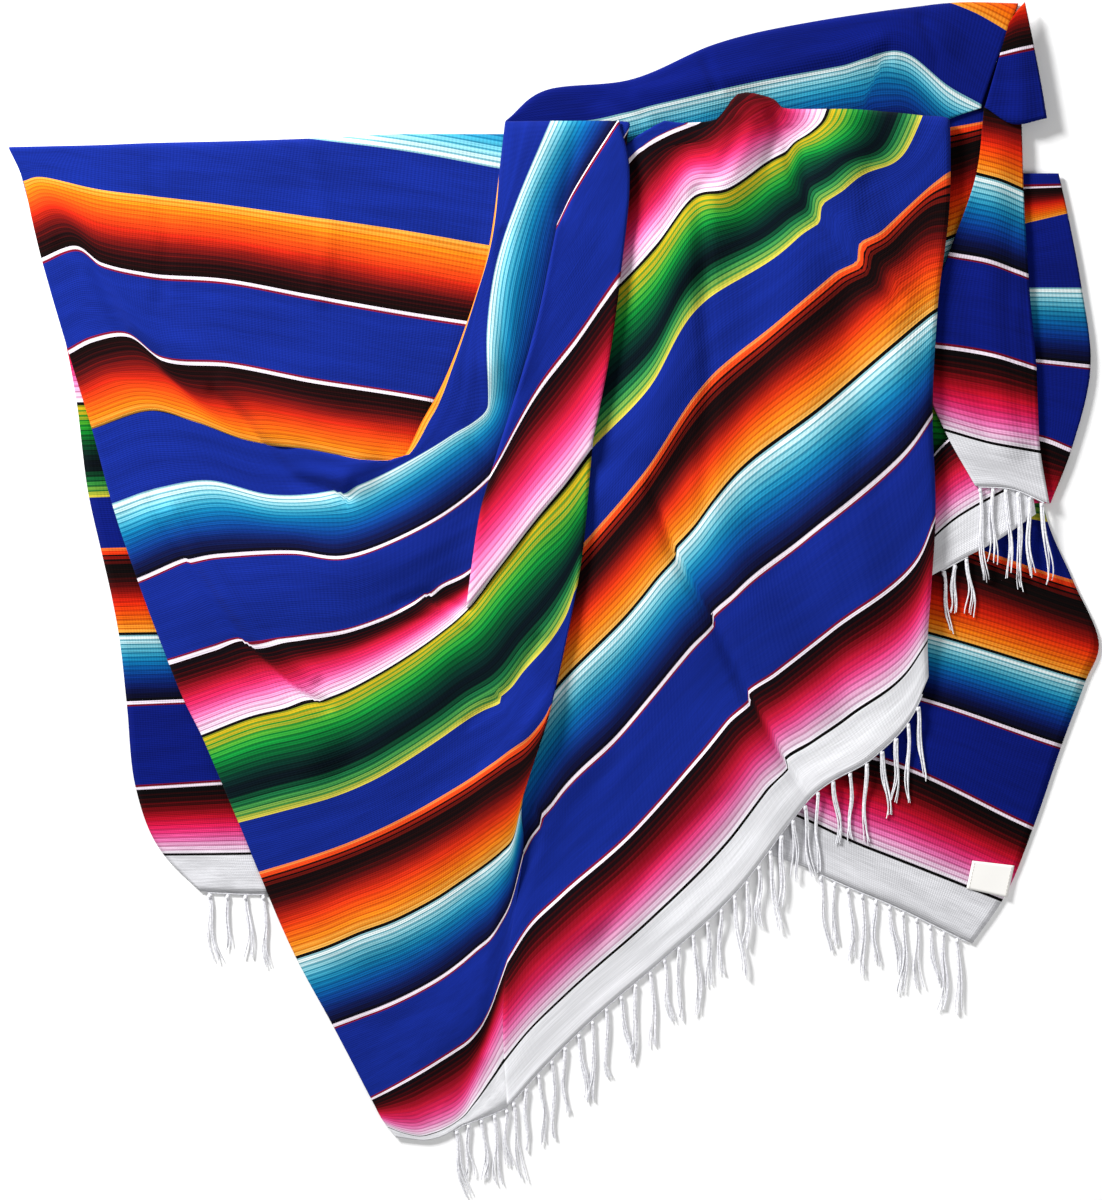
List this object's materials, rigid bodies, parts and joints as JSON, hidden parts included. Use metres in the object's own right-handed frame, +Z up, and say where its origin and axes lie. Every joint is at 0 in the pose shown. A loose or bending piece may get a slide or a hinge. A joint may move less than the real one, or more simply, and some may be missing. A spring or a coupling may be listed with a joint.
{
  "type": "mexican serape",
  "caption": "Striped woven blanket with fringed hems, lying flat in a heap of broad swept folds on its own back half.",
  "frame": {"origin": "centre of the heap's box, at the floor", "axes": "+X to the right of the heap, +Y away from the viewer towards the top fold, +Z up from the floor"},
  "size_m": [1.092, 1.1988, 0.0305],
  "materials": {
    "striped_cloth": "matt woven cotton and acrylic in blue, with shaded bands of pink, orange, green and cyan",
    "fringe_yarn": "matt undyed cotton warp, knotted into tassels",
    "label_cloth": "plain white woven tape, bare"
  },
  "bodies": {
    "root": {"back_panel": "striped_cloth", "upper_back_fold": "striped_cloth", "hidden_layers": "striped_cloth", "upper_left_panel": "striped_cloth", "left_sweep": "striped_cloth", "centre_lap": "striped_cloth", "right_front": "striped_cloth", "top_fold": "striped_cloth", "corner_flap": "striped_cloth", "inner_strip": "striped_cloth", "right_strip": "striped_cloth", "second_strip": "striped_cloth", "front_fringe_left": "fringe_yarn", "front_fringe_right": "fringe_yarn", "right_strip_fringe": "fringe_yarn", "second_strip_fringe": "fringe_yarn", "back_fringe_left": "fringe_yarn", "back_fringe_right": "fringe_yarn", "label": "label_cloth"}
  },
  "joints": []
}
